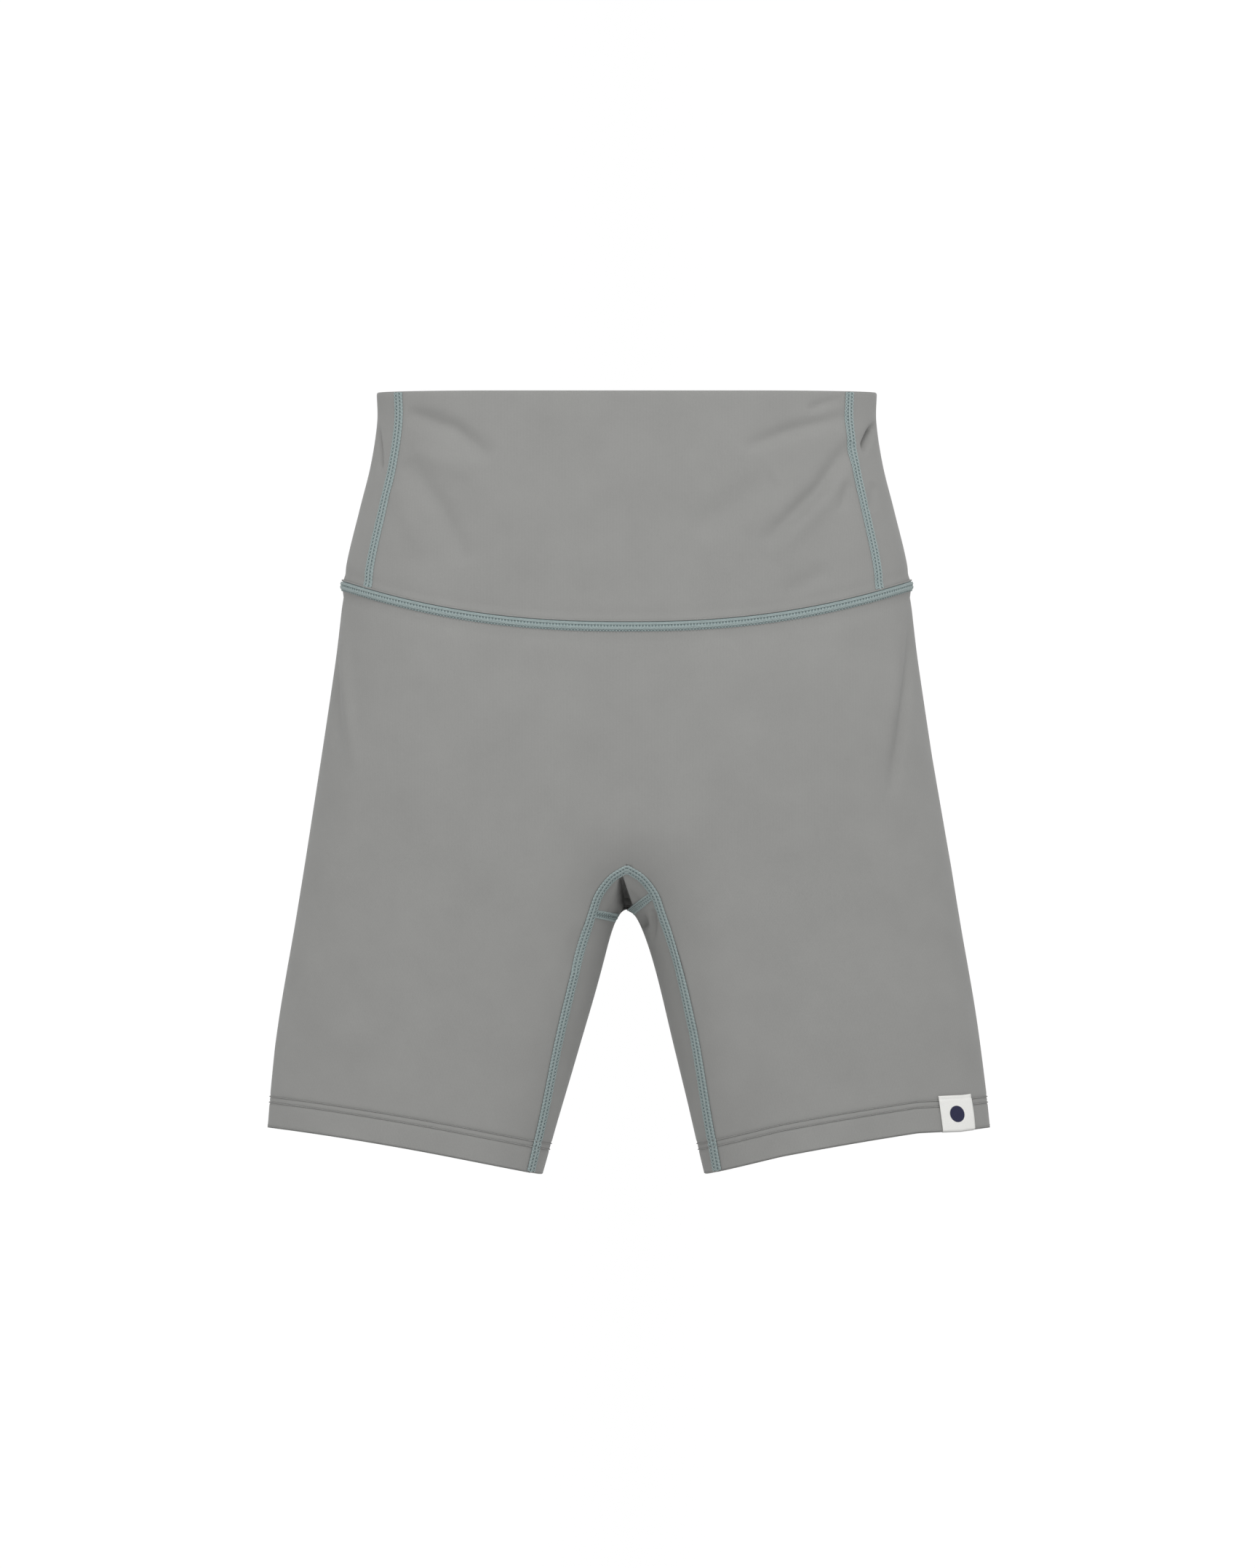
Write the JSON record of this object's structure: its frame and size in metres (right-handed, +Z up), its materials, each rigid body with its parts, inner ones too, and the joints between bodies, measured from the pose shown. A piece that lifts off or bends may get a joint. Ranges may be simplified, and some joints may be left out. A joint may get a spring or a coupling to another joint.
{
  "type": "high-waist sports shorts",
  "caption": "Grey stretch-knit high-waist sports shorts with a wide two-layer waistband, crotch gusset, flatlock seams, stitched hems and a small woven hem label.",
  "frame": {"origin": "centre of the waist opening, level with the top edge of the waistband", "axes": "+Z up towards the waist; -Y out of the front; +X towards the wearer's left"},
  "size_m": [0.3972, 0.1083, 0.4295],
  "materials": {
    "brushed_knit": "matte brushed nylon and elastane knit, fine wales, soft sheen at grazing angles",
    "lining_knit": "matte smooth knit lining",
    "seam_thread": "pale blue-grey textured polyester flatlock thread",
    "hem_thread": "grey polyester twin-needle thread",
    "elastic_tape": "translucent white flat elastic tape",
    "woven_label": "white woven damask ribbon",
    "satin_label": "white satin ribbon, blank"
  },
  "bodies": {
    "garment": {"front_waistband": "brushed_knit", "back_waistband": "brushed_knit", "front_waistband_lining": "lining_knit", "back_waistband_lining": "lining_knit", "waist_elastic": "elastic_tape", "body_panel": "brushed_knit", "gusset": "brushed_knit", "gusset_lining": "lining_knit", "left_inner_leg_panel": "brushed_knit", "right_inner_leg_panel": "brushed_knit", "waist_seam_stitching": "seam_thread", "left_waistband_seam_stitching": "seam_thread", "right_waistband_seam_stitching": "seam_thread", "left_front_inseam_stitching": "seam_thread", "right_front_inseam_stitching": "seam_thread", "left_back_inseam_stitching": "seam_thread", "right_back_inseam_stitching": "seam_thread", "left_gusset_cross_seam_stitching": "seam_thread", "right_gusset_cross_seam_stitching": "seam_thread", "centre_back_seam_stitching": "seam_thread", "left_hem_stitching": "hem_thread", "right_hem_stitching": "hem_thread", "hem_label": "woven_label"},
    "care_label_flap": {"care_label": "satin_label"}
  },
  "joints": [
    {"name": "care_label_swing", "type": "hinge", "parent": "garment", "child": "care_label_flap", "pos_m": [0, 0.0435, -0.123], "axis": [-1, 0, 0], "range_deg": [0, 90]}
  ]
}
